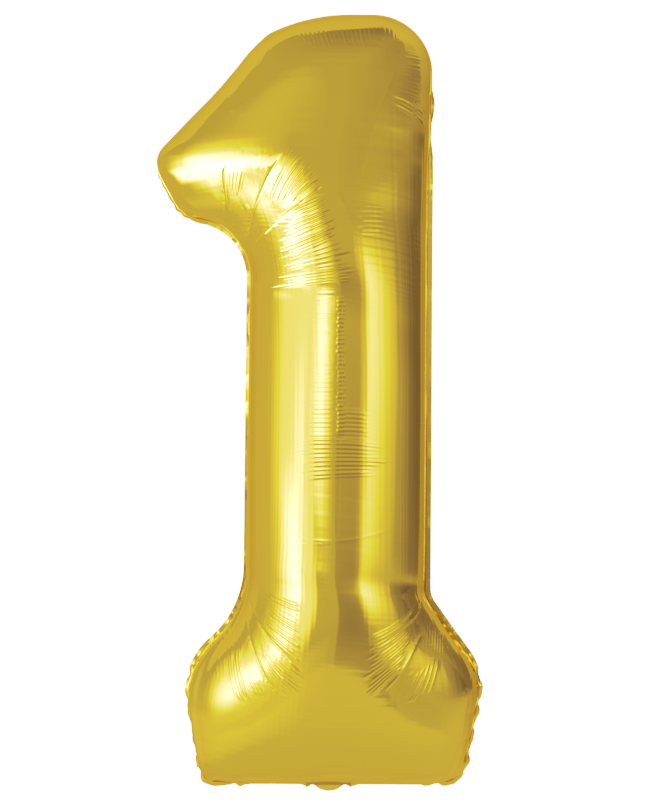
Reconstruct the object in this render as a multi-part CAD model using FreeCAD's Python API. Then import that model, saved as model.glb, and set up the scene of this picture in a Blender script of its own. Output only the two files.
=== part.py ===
"""Inflated foil number balloon, digit one, in millimetres.

Two metallised film panels are welded face to face along a narrow rim.  Gas between them
swells each panel into a dome.  A flat two-film valve runs through the bottom of the rim,
from the tail tab into the inside.  +Z is up, the front faces -Y, +X is to the right as
seen from the front, and the origin is the middle of the tail tab's neck, in the plane
where the two panels meet.  That is where the ribbon is tied.
"""
import FreeCAD, Part
import math
import os

from FreeCAD import Vector

os.makedirs("parts", exist_ok=True)

# ---------------------------------------------------------------- driving dimensions
RIM_WIDTH = 5.0           # welded rim, from the cut edge to the seam line
FILM = 0.4                # thickness each panel is modelled at, far thicker than real film
TUBE_DEPTH = 101.0        # how far each dome stands out from the seam plane
WAIST_Z = 196.0           # where the foot has narrowed to the stem
NECK_Z = 608.0            # where the stem meets the underside of the nose

TAB_WIDTH = 32.0          # tail tab, a flat arc below the bottom edge
TAB_POINT = 9.0           # depth of the point that the arc rounds off
TAB_ROUND = 20.0
TAB_NECK_ROUND = 2.0

VALVE_WIDTH = 26.0
VALVE_BOTTOM = 0.5         # the straw goes in between the tab's films to reach it
VALVE_LENGTH = 125.0
VALVE_FILM = 0.12         # thickness each valve film is modelled at
VALVE_GAP = 0.02          # clearance between films, and between film and panel
VALVE_ROUND = 6.0         # corners of the valve's inner end
CHANNEL_OVERRUN = 1.5     # how far the channel in the rim runs past the seam line

PEAK = 1.5                # point on the seam where two sides of a dome meet
BLUNT = 0.25              # how far a dome's section is from a true ellipse, 0 to 1
SPAN_ROWS = 7             # rows of surface points for each span of the height
ACROSS = 15               # surface points across each row

# Corners of the cut edge, as (x, z, fillet radius).  Each side starts at the bottom.
# Both sides have the same number of corners, because each pair ends a span of rows.
LEFT_SIDE = [
    (-143.0, 0.0, 17.0),          # bottom of the foot
    (-167.0, 132.0, 86.0),        # widest point of the foot
    (-95.0, WAIST_Z, 108.0),
    (-90.6, NECK_Z, 63.0),
    (-168.0, 632.0, 42.0),        # underside of the nose
    (-203.0, 690.0, 28.0),        # tip of the nose
    (-69.0, 833.0, 40.0),         # shoulder of the head
]
RIGHT_SIDE = [
    (151.0, 0.0, 29.0),
    (176.0, 121.0, 81.0),
    (113.0, 210.0, 25.0),
    (115.1, 575.0, 0.0),
    (115.4, 640.0, 0.0),
    (115.7, 715.0, 0.0),
    (116.0, 855.0, 67.0),         # shoulder of the head
]
TOP = [(-19.0, 855.0, 200.0)]     # corner of the crown, between the two shoulders


# ---------------------------------------------------------------- outline
def inset(corners, distance):
    """Closed outline moved inwards: every edge is shifted, and neighbours meet again."""
    moved = []
    for i, (x, z, radius) in enumerate(corners):
        before = corners[i - 1]
        after = corners[(i + 1) % len(corners)]
        way_in = Vector(x - before[0], 0, z - before[1]).normalize()
        way_out = Vector(after[0] - x, 0, after[1] - z).normalize()
        # the outline runs clockwise as seen from the front, so inwards is to its right
        right_in = Vector(way_in.z, 0, -way_in.x)
        right_out = Vector(way_out.z, 0, -way_out.x)
        middle = (right_in + right_out).normalize()
        corner = Vector(x, 0, z) + middle * (distance / middle.dot(right_in))
        turn = way_in.x * way_out.z - way_in.z * way_out.x
        swell = distance if turn > 0 else -distance
        moved.append((corner.x, corner.z, max(radius + swell, 0.0) if radius else 0.0))
    return moved


def corner_arc(before, corner, after):
    """Fillet at a corner, as (start, circle arc or None, end)."""
    point = Vector(corner[0], 0, corner[1])
    if corner[2] < 0.5:
        return point, None, point
    back = (Vector(before[0], 0, before[1]) - point).normalize()
    ahead = (Vector(after[0], 0, after[1]) - point).normalize()
    half = back.getAngle(ahead) / 2
    reach = corner[2] / math.tan(half)
    rise = corner[2] / math.sin(half) - corner[2]
    start = point + back * reach
    end = point + ahead * reach
    return start, Part.Arc(start, point + (back + ahead).normalize() * rise, end), end


def half_fillet(arc, second, peak):
    """One half of a fillet.  A peak draws the fillet's middle out to a slight point."""
    first, last = arc.FirstParameter, arc.LastParameter
    middle = (first + last) / 2
    if not peak:
        return [arc.toShape(middle, last) if second else arc.toShape(first, middle)]
    circle = arc.toShape().Curve
    sharp = circle.Radius * (1 / math.cos((last - first) / 2) - 1)
    peak = min(peak, 0.8 * sharp)
    lean = math.acos(circle.Radius / (circle.Radius + peak))
    tip = circle.Center + (arc.value(middle) - circle.Center) * (1 + peak / circle.Radius)
    if second:
        start = middle + lean
        return [Part.LineSegment(tip, arc.value(start)).toShape(), arc.toShape(start, last)]
    end = middle - lean
    return [arc.toShape(first, end), Part.LineSegment(arc.value(end), tip).toShape()]


def spans(corners, peaks=()):
    """Closed outline as runs of edges, each from the middle of one fillet to the next.

    peaks holds the numbers of the corners whose fillet is drawn out to a slight point.
    """
    count = len(corners)
    arcs = [corner_arc(corners[i - 1], corners[i], corners[(i + 1) % count])
            for i in range(count)]
    runs = []
    for i in range(count):
        after = (i + 1) % count
        edges = [Part.LineSegment(arcs[i][2], arcs[after][0]).toShape()]
        if arcs[i][1]:
            edges = half_fillet(arcs[i][1], True, PEAK if i in peaks else 0) + edges
        if arcs[after][1]:
            edges += half_fillet(arcs[after][1], False, PEAK if after in peaks else 0)
        runs.append(edges)
    return runs


def point_along(edges, fraction):
    """Point at a fraction of the length of a run of edges."""
    left = fraction * sum(edge.Length for edge in edges)
    for edge in edges[:-1]:
        if left <= edge.Length:
            return edge.valueAt(edge.getParameterByLength(left))
        left -= edge.Length
    return edges[-1].valueAt(edges[-1].getParameterByLength(min(left, edges[-1].Length)))


# ---------------------------------------------------------------- film panel
def seam_sides(distance):
    """The seam line, this far in from the cut edge, as spans of its four sides."""
    corners = LEFT_SIDE + TOP + RIGHT_SIDE[::-1]
    rises = len(LEFT_SIDE) - 1
    runs = spans(inset(corners, distance), (0, rises, rises + 2, len(corners) - 1))
    left = runs[:rises]
    top = runs[rises] + runs[rises + 1]
    right = runs[rises + 2:-1]
    return left, right[::-1], runs[-1], top


def quarter(part):
    """Way in from the seam at this part of a quarter turn: an ellipse, a little blunted.

    A true ellipse would start square to the seam plane, with no way in at all.
    """
    ellipse = 1 - math.cos(part * math.pi / 2)
    return (1 - BLUNT) * ellipse + BLUNT * part


def dome(distance, depth):
    """Surface of one swollen panel, from its seam line out to its full depth.

    Every row of points runs from the left seam to the right seam as a half ellipse.  The
    rows of the first and last span close down to the bottom and top seam as a quarter
    ellipse, and take up the curve of that seam on the way.
    """
    left, right, bottom, top = seam_sides(distance)
    rows = []
    for span in range(len(left)):
        first = span == 0
        last = span == len(left) - 1
        for row in range(SPAN_ROWS + (1 if last else 0)):
            part = row / SPAN_ROWS
            reach = 1.0
            if first:
                reach = math.sin(part * math.pi / 2)
                part = quarter(part)
            if last:
                reach = math.cos(part * math.pi / 2)
                part = 1 - quarter(1 - part)
            start = point_along(left[span], part)
            end = point_along(right[span], 1 - part)
            points = []
            for column in range(ACROSS):
                side = 2 * column / (ACROSS - 1)
                across = quarter(side) / 2 if side <= 1 else 1 - quarter(2 - side) / 2
                point = start + (end - start) * across
                if first:
                    chord_start = point_along(left[span], 0)
                    chord_end = point_along(right[span], 1)
                    curve = point_along(bottom, 1 - across)
                    point += (curve - chord_start - (chord_end - chord_start) * across) * (1 - part)
                if last:
                    chord_start = point_along(left[span], 1)
                    chord_end = point_along(right[span], 0)
                    curve = point_along(top, across)
                    point += (curve - chord_start - (chord_end - chord_start) * across) * part
                height = depth * reach * math.sin(side * math.pi / 2)
                points.append(Vector(point.x, -round(height, 6), point.z))
            rows.append(points)
    surface = Part.BSplineSurface()
    surface.interpolate(rows)
    return surface.toShape()


def cut_outline():
    """Cut edge of the panel with its tail tab, as one closed wire."""
    half = TAB_WIDTH / 2
    tab = [(half, 0.0, TAB_NECK_ROUND), (0.0, -TAB_POINT, TAB_ROUND),
           (-half, 0.0, TAB_NECK_ROUND)]
    edges = []
    for run in spans(LEFT_SIDE + TOP + RIGHT_SIDE[::-1] + tab):
        edges += run
    return Part.Wire(edges)


def swollen_panel():
    """Front film: outer dome, inner dome, the rim's two faces and its cut edge."""
    outer = dome(RIM_WIDTH, TUBE_DEPTH)
    outer.translate(Vector(0, -FILM, 0))
    inner = dome(RIM_WIDTH + FILM, TUBE_DEPTH)
    cut = cut_outline()
    cut_outer = cut.copy()
    cut_outer.translate(Vector(0, -FILM, 0))
    faces = outer.Faces + inner.Faces + cut.extrude(Vector(0, -FILM, 0)).Faces
    for outline, hole in ((cut_outer, outer), (cut, inner)):
        ring = [outline, Part.Wire(Part.__sortEdges__(hole.Edges))]
        faces += Part.makeFace(ring, "Part::FaceMakerBullseye").Faces
    shell = Part.makeShell(faces)
    shell.sewShape()
    solid = Part.Solid(shell)
    if solid.Volume < 0:
        solid.reverse()
    return solid


def front_panel():
    """Swollen panel with the shallow channel in its rim that the valve lies in."""
    depth = VALVE_FILM + 2 * VALVE_GAP
    width = VALVE_WIDTH + 2 * VALVE_GAP
    bottom = -TAB_POINT - 1
    top = RIM_WIDTH + CHANNEL_OVERRUN
    channel = Part.makeBox(width, 2 * depth, top - bottom, Vector(-width / 2, -depth, bottom))
    return swollen_panel().cut(channel).Solids[0]


# ---------------------------------------------------------------- valve
def valve_film():
    """Front film of the valve, a flat strip with a rounded inner end."""
    low = Vector(-VALVE_WIDTH / 2, -VALVE_GAP - VALVE_FILM, VALVE_BOTTOM)
    strip = Part.makeBox(VALVE_WIDTH, VALVE_FILM, VALVE_LENGTH, low)
    top = VALVE_BOTTOM + VALVE_LENGTH
    ends = [edge for edge in strip.Edges
            if abs(edge.BoundBox.ZMin - top) < 1e-6 and edge.BoundBox.XLength < 1e-6]
    return strip.makeFillet(VALVE_ROUND, ends).Solids[0]


# ---------------------------------------------------------------- parts
def behind(shape):
    """Mirror image of a front piece, on the other side of the seam plane."""
    return shape.mirror(Vector(0, 0, 0), Vector(0, 1, 0))


panel = front_panel()
film = valve_film()
PARTS = {
    "front_foil_panel": panel,
    "back_foil_panel": behind(panel),
    "valve_front_film": film,
    "valve_back_film": behind(film),
}
for name, shape in PARTS.items():
    shape.exportStep(f"parts/{name}.step")
    print(name, shape.ShapeType, len(shape.Solids), shape.isValid(),
          f"{shape.Volume / 1000:.1f} cm3", shape.BoundBox)
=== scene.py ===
"""Looks for an inflated foil number balloon, digit one.

Two metallised film panels are worked out the way the real ones get their shape: a flat
pattern is found whose two layers, welded round the edge and blown up, swell to the digit's
outline.  The front faces -Y, +Z is up, and everything is in the CAD model's own frame.
"""

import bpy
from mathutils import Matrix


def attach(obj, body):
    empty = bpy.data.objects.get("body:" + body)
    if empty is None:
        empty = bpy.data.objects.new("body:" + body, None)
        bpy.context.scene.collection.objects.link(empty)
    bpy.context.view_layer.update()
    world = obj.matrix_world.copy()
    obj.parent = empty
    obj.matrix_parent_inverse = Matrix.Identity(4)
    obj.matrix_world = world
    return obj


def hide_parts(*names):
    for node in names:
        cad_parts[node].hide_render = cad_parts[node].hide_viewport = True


bl_info = {
    "name": "Foil number balloon",
    "version": (1, 0, 0),
    "blender": (4, 5, 0),
    "location": "View3D > Sidebar > Balloon",
    "description": "Makes the film panels, valve and studio of an inflated foil digit",
    "category": "Object",
}

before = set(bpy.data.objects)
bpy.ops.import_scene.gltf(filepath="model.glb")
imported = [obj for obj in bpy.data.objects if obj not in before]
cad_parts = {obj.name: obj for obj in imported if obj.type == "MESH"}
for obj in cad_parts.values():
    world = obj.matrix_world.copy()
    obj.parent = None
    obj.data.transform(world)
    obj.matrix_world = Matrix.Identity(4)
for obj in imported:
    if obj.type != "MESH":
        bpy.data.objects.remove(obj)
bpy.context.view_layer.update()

import math

import bpy
import numpy as np
from bpy.props import FloatProperty, IntProperty, PointerProperty, StringProperty

MM = 0.001                       # millimetres to metres
TINY = 1e-9                      # keeps a division from going wrong at nothing
BATCH = 1000                     # points compared with a line at a time
ROOT = "root"                    # the one body that every piece rides on
RIM = 5.0                        # mm, width of the welded rim

# Corners of the digit's cut edge in mm, as (x, z, fillet radius), clockwise from the bottom
# left as seen from the front.
OUTLINE = [
    (-143.0, 0.0, 17.0),
    (-167.0, 132.0, 86.0),
    (-95.0, 196.0, 108.0),
    (-90.6, 608.0, 63.0),
    (-168.0, 632.0, 42.0),
    (-203.0, 690.0, 28.0),
    (-69.0, 833.0, 40.0),
    (-19.0, 855.0, 200.0),
    (116.0, 855.0, 67.0),
    (113.0, 210.0, 25.0),
    (176.0, 121.0, 81.0),
    (151.0, 0.0, 29.0),
]
SHEET_CORNERS = (0, 6, 8, 11)    # the outline's corners that end the four sides of a panel


# ------------------------------------------------------------------ curves in the plane
def fillet(before, corner, after, step):
    """Points round one rounded corner: an arc of the corner's radius that both edges touch."""
    point = np.array(corner[:2])
    back = np.array(before[:2]) - point
    back /= np.linalg.norm(back)
    ahead = np.array(after[:2]) - point
    ahead /= np.linalg.norm(ahead)
    half = math.acos(float(back @ ahead)) / 2
    middle = back + ahead
    middle /= np.linalg.norm(middle)
    centre = point + middle * corner[2] / math.sin(half)
    first = point + back * corner[2] / math.tan(half) - centre
    last = point + ahead * corner[2] / math.tan(half) - centre
    start = math.atan2(first[1], first[0])
    turn = (math.atan2(last[1], last[0]) - start + math.pi) % (2 * math.pi) - math.pi
    count = max(2, int(abs(turn) * corner[2] / step)) + 1
    angle = start + turn * np.linspace(0, 1, count)
    return centre + corner[2] * np.stack([np.cos(angle), np.sin(angle)], 1)


def rounded(corners, step=1.0):
    """Closed outline through rounded corners, as points, and the middle point of each corner."""
    count = len(corners)
    arcs = [fillet(corners[i - 1], corners[i], corners[(i + 1) % count], step)
            for i in range(count)]
    points = []
    middles = []
    for i, arc in enumerate(arcs):
        middles.append(sum(len(run) for run in points) + len(arc) // 2)
        points.append(arc)
        gap = arcs[(i + 1) % count][0] - arc[-1]
        steps = max(1, int(np.linalg.norm(gap) / step))
        points.append(arc[-1] + gap * np.linspace(0, 1, steps + 1)[1:-1, None])
    return np.concatenate(points), middles


def even(line, count, marks=None):
    """A line's points laid out again at even spacing, or at the given parts of its length."""
    length = np.r_[0, np.cumsum(np.linalg.norm(np.diff(line, axis=0), axis=1))]
    where = np.linspace(0, 1, count) if marks is None else marks
    return np.stack([np.interp(where * length[-1], length, line[:, k])
                     for k in range(line.shape[1])], 1)


def outward(loop):
    """Unit normals that point out of a clockwise closed loop in the x, z plane."""
    along = np.roll(loop, -1, 0) - np.roll(loop, 1, 0)
    along /= np.linalg.norm(along, axis=1)[:, None]
    return np.stack([-along[:, 1], along[:, 0]], 1)


def smooth_loop(values, times):
    """Closed run of values, each averaged with its neighbours a number of times."""
    for _ in range(times):
        values = 0.25 * np.roll(values, 1, 0) + 0.5 * values + 0.25 * np.roll(values, -1, 0)
    return values


def sides_of(loop, marks):
    """Left, right, bottom and top of a clockwise loop that is split at four marks."""
    first = np.roll(loop, -marks[0], 0)
    a, b, c = [(mark - marks[0]) % len(loop) for mark in marks[1:]]
    left = first[:a + 1]
    top = first[a:b + 1]
    right = first[b:c + 1][::-1]
    bottom = np.concatenate([first[c:], first[:1]])[::-1]
    return left, right, bottom, top


def loop_of(grid):
    """Boundary of a grid as a closed clockwise loop from its bottom left corner."""
    return np.concatenate([grid[:-1, 0], grid[-1, :-1], grid[:0:-1, -1], grid[0, :0:-1]])


def coons(left, right, bottom, top):
    """Grid filled in from its four sides: two ruled surfaces added, less the bilinear one."""
    v = np.linspace(0, 1, len(left))[:, None, None]
    u = np.linspace(0, 1, len(bottom))[None, :, None]
    ruled = (1 - u) * left[:, None] + u * right[:, None] + (1 - v) * bottom[None] + v * top[None]
    twist = ((1 - u) * (1 - v) * left[0] + u * (1 - v) * right[0]
             + (1 - u) * v * left[-1] + u * v * right[-1])
    return ruled - twist


def relax(grid, times):
    """Winslow smoothing: evens out a flat grid's cells so that none folds over.

    Each inner point moves to where a x_uu - 2 b x_uv + g x_vv = 0, in which a and g are the
    squared sizes of a cell the one way and the other, and b is its slant.
    """
    grid = grid.copy()
    for _ in range(times):
        across = (grid[1:-1, 2:] - grid[1:-1, :-2]) / 2
        up = (grid[2:, 1:-1] - grid[:-2, 1:-1]) / 2
        a = (up ** 2).sum(-1, keepdims=True)
        g = (across ** 2).sum(-1, keepdims=True)
        b = (across * up).sum(-1, keepdims=True)
        cross = (grid[2:, 2:] - grid[2:, :-2] - grid[:-2, 2:] + grid[:-2, :-2]) / 4
        beside = grid[1:-1, 2:] + grid[1:-1, :-2]
        above = grid[2:, 1:-1] + grid[:-2, 1:-1]
        grid[1:-1, 1:-1] = (a * beside + g * above - 2 * b * cross) / (2 * (a + g))
    return grid


def spline_weights(parts, count):
    """Weights that carry a row of control points to a cubic B-spline at parts 0 to 1.

    The ends are clamped by a phantom point beyond each, level with the last two.
    """
    place = np.clip(parts, 0, 1) * (count - 1)
    span = np.minimum(place.astype(int), count - 2)
    t = place - span
    four = np.stack([(1 - t) ** 3, 3 * t ** 3 - 6 * t ** 2 + 4,
                     -3 * t ** 3 + 3 * t ** 2 + 3 * t + 1, t ** 3], 1) / 6
    weights = np.zeros((len(parts), count + 2))
    rows = np.arange(len(parts))
    for k in range(4):
        weights[rows, span + k] += four[:, k]
    weights[:, 1] += 2 * weights[:, 0]
    weights[:, 2] -= weights[:, 0]
    weights[:, -2] += 2 * weights[:, -1]
    weights[:, -3] -= weights[:, -1]
    return weights[:, 1:-1]


def resample(grid, parts_v, parts_u):
    """A grid's cubic B-spline surface, read at any parts of its height and width."""
    rows = np.einsum("ab,bcd->acd", spline_weights(parts_v, grid.shape[0]), grid)
    return np.einsum("eb,abd->aed", spline_weights(parts_u, grid.shape[1]), rows)


# ------------------------------------------------------------------ inflating the film
TUBE_RADIUS = 95.0               # mm, the swollen stem's radius
LOW_DOME = 20.0                  # mm, height of the dome that the film starts from
PULLS_AT_A_POINT = 6             # four links along the grid, and four slanting ones at half
SAFE_SHARE = 0.5                 # part of the longest time step that keeps steady
FREE_TURNS = 10                  # turns before the motion may first be stopped


def inflate(flat, start, steps, stretch):
    """Front film of a welded pair, swollen by gas until it stands still.

    Film can't stretch or push, only pull, so each link of the grid pulls when it is longer
    than it is in the flat pattern.  Gas pushes every cell along its own normal.  Edge points
    stay in the seam plane.  Whenever the motion has passed its fastest, it is stopped.
    """
    links = [((slice(None), slice(1, None)), (slice(None), slice(None, -1)), 1.0),
             ((slice(1, None), slice(None)), (slice(None, -1), slice(None)), 1.0),
             ((slice(1, None), slice(1, None)), (slice(None, -1), slice(None, -1)), 0.5),
             ((slice(1, None), slice(None, -1)), (slice(None, -1), slice(1, None)), 0.5)]
    lengths = [np.linalg.norm(flat[a] - flat[b], axis=-1) for a, b, _ in links]
    cell = np.median(lengths[0])
    stiff = TUBE_RADIUS / stretch
    place = start.copy()
    speed = np.zeros_like(place)
    edge = np.ones(flat.shape[:2], bool)
    edge[1:-1, 1:-1] = False
    step = SAFE_SHARE * math.sqrt(1 / (stiff * PULLS_AT_A_POINT))
    liveliest = 0.0
    for turn in range(steps):
        force = np.zeros_like(place)
        for (a, b, share), rest in zip(links, lengths):
            gap = place[a] - place[b]
            length = np.sqrt((gap * gap).sum(-1))
            strain = np.maximum(length / rest - 1, 0)
            pull = stiff * share * cell * strain / np.maximum(length, TINY)
            gap *= pull[..., None]
            force[a] -= gap
            force[b] += gap
        push = np.cross(place[1:, 1:] - place[:-1, :-1], place[1:, :-1] - place[:-1, 1:]) / 8
        force[1:, 1:] += push
        force[:-1, :-1] += push
        force[1:, :-1] += push
        force[:-1, 1:] += push
        speed += step * force
        speed[edge, 1] = 0
        energy = (speed ** 2).sum()
        if energy < liveliest and turn > FREE_TURNS:
            speed[:] = 0
            energy = 0.0
        liveliest = energy
        place += step * speed
    return place


def lift(flat):
    """Flat pattern with a low dome in it, so that the gas knows which way to push."""
    rise = (np.sin(np.linspace(0, math.pi, flat.shape[1]))[None]
            * np.sin(np.linspace(0, math.pi, flat.shape[0]))[:, None])
    return np.stack([flat[..., 0], -LOW_DOME * rise, flat[..., 1]], -1)


def nearest(points, line):
    """Index of the line's point that is nearest to each point, found for a batch at a time."""
    batches = np.array_split(points, len(points) // BATCH + 1)
    return np.concatenate([np.argmin(((batch[:, None] - line[None]) ** 2).sum(-1), 1)
                           for batch in batches])


# ------------------------------------------------------------------ finding the flat pattern
SIDE = (33, 97)                  # points across and up the coarse grid
STRETCH = 0.006                  # how far the film gives under the gas
FIRST_STEPS = 1500               # turns of the motion for the first trial
STEPS = 500                      # and for each later one
TRIALS = 16
FIRST_SHARE = 0.9                # part of a tube's lost width that the first pattern allows for
TRIAL_SHARE = 0.6                # part of what is short that each trial puts right
EVEN_TURNS = 300                 # turns of smoothing for the coarse pattern


def seam_target(rim):
    """The seam line that the swollen panel has to meet, as a dense loop, with its marks."""
    cut, middles = rounded(OUTLINE)
    inset = rim_hang(cut)[:, :1] * rim / RIM
    return cut - outward(cut) * inset, [middles[k] for k in SHEET_CORNERS]


def find_pattern(rim):
    """Flat pattern whose swollen seam lies on the target, and the swollen grid itself.

    The first pattern is the seam moved out by half of what a tube's width loses when it
    swells.  Then the panel is swollen, and every edge point of the pattern is moved by part
    of the distance that its own swollen place is short of the target.
    """
    target, marks = seam_target(rim)
    out = outward(target)
    count_u, count_v = SIDE
    wider = target + out * (math.pi / 2 - 1) * TUBE_RADIUS * FIRST_SHARE
    left, right, bottom, top = sides_of(wider, marks)
    place = None
    for trial in range(TRIALS):
        left, right = even(left, count_v), even(right, count_v)
        bottom, top = even(bottom, count_u), even(top, count_u)
        flat = relax(coons(left, right, bottom, top), EVEN_TURNS)
        place = inflate(flat, lift(flat) if place is None else place,
                        FIRST_STEPS if trial == 0 else STEPS, STRETCH)
        if trial == TRIALS - 1:
            break
        edge = loop_of(place)[:, (0, 2)]
        near = nearest(edge, target)
        short = ((target[near] - edge) * out[near]).sum(1)
        pattern = loop_of(flat)
        pattern = pattern + outward(pattern) * TRIAL_SHARE * smooth_loop(short, 2)[:, None]
        pattern = smooth_loop(pattern, 1)
        ends = np.cumsum([0, count_v - 1, count_u - 1, count_v - 1])
        left, right, bottom, top = sides_of(pattern, ends)
    return flat, place


# ------------------------------------------------------------------ the film panel's surface
FINE = (65, 193)                 # points across and up the fine grid
FINE_STEPS = 1200
FINE_EVEN_TURNS = 100            # turns of smoothing for the fine pattern
SMOOTH_ACROSS, SMOOTH_UP = 26, 16     # times that the swollen grid is softened each way
EDGE_SMOOTHS = 6                 # times that the edge's last correction is softened
# Where rows of points lie closer together: (part of the height, half width, how much closer).
CLOSER_ROWS = [(0.175, 0.085, 1.0), (0.43, 0.05, 0.5), (0.68, 0.10, 1.0)]
ROW_SAMPLES = 2001


def soften(grid, times, axis):
    """Averages a grid with its neighbours along one axis; the ends stay, in line with the rest."""
    grid = np.moveaxis(grid, axis, 0)
    for _ in range(times):
        wide = np.concatenate([2 * grid[:1] - grid[1:2], grid, 2 * grid[-1:] - grid[-2:-1]])
        grid = 0.25 * wide[:-2] + 0.5 * wide[1:-1] + 0.25 * wide[2:]
    return np.moveaxis(grid, 0, axis)


def soften_evenly(grid):
    """Softens both ways and puts back what broad shapes lost by it, so that only ripples go."""
    def once(values):
        return soften(soften(values, SMOOTH_ACROSS, 1), SMOOTH_UP, 0)
    first = once(grid)
    return first + once(grid - first)


def swollen_film(settings):
    """Swollen front film on the fine grid, with ripples of the method softened out."""
    flat, place = find_pattern(settings.rim)
    parts_v, parts_u = np.linspace(0, 1, FINE[1]), np.linspace(0, 1, FINE[0])
    flat = relax(resample(flat, parts_v, parts_u), FINE_EVEN_TURNS)
    place = resample(place, parts_v, parts_u)
    place[[0, -1], :, 1] = 0
    place[:, [0, -1], 1] = 0
    return soften_evenly(inflate(flat, place, FINE_STEPS, STRETCH))


def row_parts(count):
    """Parts of the height at which the rows lie, closer together in the wrinkled places."""
    part = np.linspace(0, 1, ROW_SAMPLES)
    crowd = 1 + sum(more * np.exp(-((part - middle) / half) ** 4)
                    for middle, half, more in CLOSER_ROWS)
    total = np.r_[0, np.cumsum((crowd[1:] + crowd[:-1]) / 2)]
    return np.interp(np.linspace(0, 1, count), total / total[-1], part)


def panel_grid(film, across, up, rim):
    """The swollen film read as one smooth surface on a finer grid, with its edge on the seam.

    What its edge is off the target is spread inwards, less and less, over the whole grid.
    """
    grid = resample(film, row_parts(up), np.linspace(0, 1, across))
    target, _ = seam_target(rim)
    edge = loop_of(grid)[:, (0, 2)]
    off = smooth_loop(target[nearest(edge, target)] - edge, EDGE_SMOOTHS)
    ends = np.cumsum([0, up - 1, across - 1, up - 1])
    spread = coons(*sides_of(off, ends))
    grid[..., 0] += spread[..., 0]
    grid[..., 2] += spread[..., 1]
    return grid


# ------------------------------------------------------------------ wrinkles and creases
# Each bundle of folds lies between two curves, both given by three points (x, z) in mm; then
# come how many folds it has and their height in mm.
FOLDS = [
    ("neck_high", [(-71, 642), (-56, 678), (-40, 704)],
     [(-36, 646), (-23, 657), (-7, 666)], 11, 0.49),
    ("neck_middle", [(-33, 643), (-15, 651), (1, 658)],
     [(-58, 593), (-23, 607), (10, 622)], 9, 0.35),
    ("neck_group", [(-59, 593), (-25, 606), (9, 621)],
     [(-58, 582), (-23, 595), (12, 610)], 3, 0.61),
    ("neck_low", [(-56, 581), (-21, 592), (16, 607)],
     [(-58, 562), (-19, 569), (28, 576)], 5, 0.29),
    ("neck_last_group", [(-59, 562), (-19, 568), (26, 574)],
     [(-59, 549), (-19, 555), (20, 559)], 4, 0.52),
    ("nose_folds", [(-120, 684), (-120, 670), (-116, 652)],
     [(-95, 679), (-98, 663), (-101, 650)], 6, 0.43),
    ("nose_top", [(-113, 707), (-113, 698), (-112, 690)],
     [(-61, 697), (-64, 688), (-67, 679)], 10, 0.15),
    ("nose_low", [(-133, 645), (-128, 636), (-125, 627)],
     [(-87, 642), (-87, 631), (-88, 620)], 7, 0.32),
    ("head_edge_group", [(67, 766), (88, 759), (106, 744)],
     [(71, 753), (91, 743), (103, 733)], 3, 0.58),
    ("head_edge_fine", [(79, 801), (92, 799), (101, 798)],
     [(75, 769), (90, 765), (105, 759)], 8, 0.20),
    ("head_corner", [(83, 812), (93, 810), (106, 808)],
     [(82, 804), (93, 803), (106, 800)], 2, 0.43),
    ("head_top", [(-41, 837), (-35, 828), (-30, 818)],
     [(73, 849), (73, 835), (73, 823)], 22, 0.20),
    ("left_shoulder_high", [(-70, 217), (-50, 209), (-31, 203)],
     [(-67, 168), (-51, 155), (-33, 140)], 11, 0.49),
    ("left_shoulder_low", [(-74, 167), (-56, 143), (-29, 122)],
     [(-76, 141), (-65, 120), (-45, 97)], 8, 0.52),
    ("left_foot_folds", [(-109, 146), (-107, 120), (-100, 97)],
     [(-98, 150), (-94, 118), (-85, 94)], 4, 0.58),
    ("left_foot_short", [(-89, 117), (-85, 109), (-81, 100)],
     [(-68, 120), (-64, 110), (-57, 99)], 5, 0.35),
    ("left_seam_fine", [(-120, 165), (-119, 148), (-117, 134)],
     [(-95, 185), (-95, 168), (-94, 152)], 6, 0.15),
    ("left_side_fine", [(-130, 143), (-130, 130), (-129, 118)],
     [(-115, 142), (-114, 129), (-113, 116)], 4, 0.15),
    ("right_shoulder", [(98, 202), (75, 180), (41, 163)],
     [(79, 129), (63, 116), (45, 98)], 14, 0.49),
    ("right_foot_folds", [(106, 129), (97, 108), (87, 94)],
     [(123, 147), (118, 120), (108, 95)], 6, 0.49),
    ("right_foot_weak", [(93, 129), (85, 114), (75, 103)],
     [(106, 129), (96, 112), (86, 97)], 4, 0.29),
    ("right_seam_fine", [(106, 187), (105, 168), (103, 153)],
     [(128, 169), (128, 151), (128, 136)], 8, 0.15),
    ("right_side_fine", [(149, 124), (148, 114), (147, 103)],
     [(161, 128), (161, 116), (159, 104)], 4, 0.15),
    ("stem_group", [(-31, 381), (12, 381), (57, 377)],
     [(-31, 341), (12, 344), (57, 345)], 8, 0.26),
    ("stem_fine_right", [(12, 415), (26, 415), (44, 413)],
     [(12, 377), (26, 377), (44, 376)], 8, 0.10),
    ("stem_dots", [(9, 538), (13, 538), (17, 538)],
     [(9, 391), (13, 391), (17, 391)], 32, 0.26),
    ("stem_edge_left", [(-22, 547), (-9, 547), (6, 547)],
     [(-22, 381), (-9, 381), (6, 381)], 34, 0.05),
    ("stem_high_right", [(32, 639), (46, 639), (61, 638)],
     [(32, 612), (46, 612), (61, 612)], 5, 0.10),
]
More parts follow.
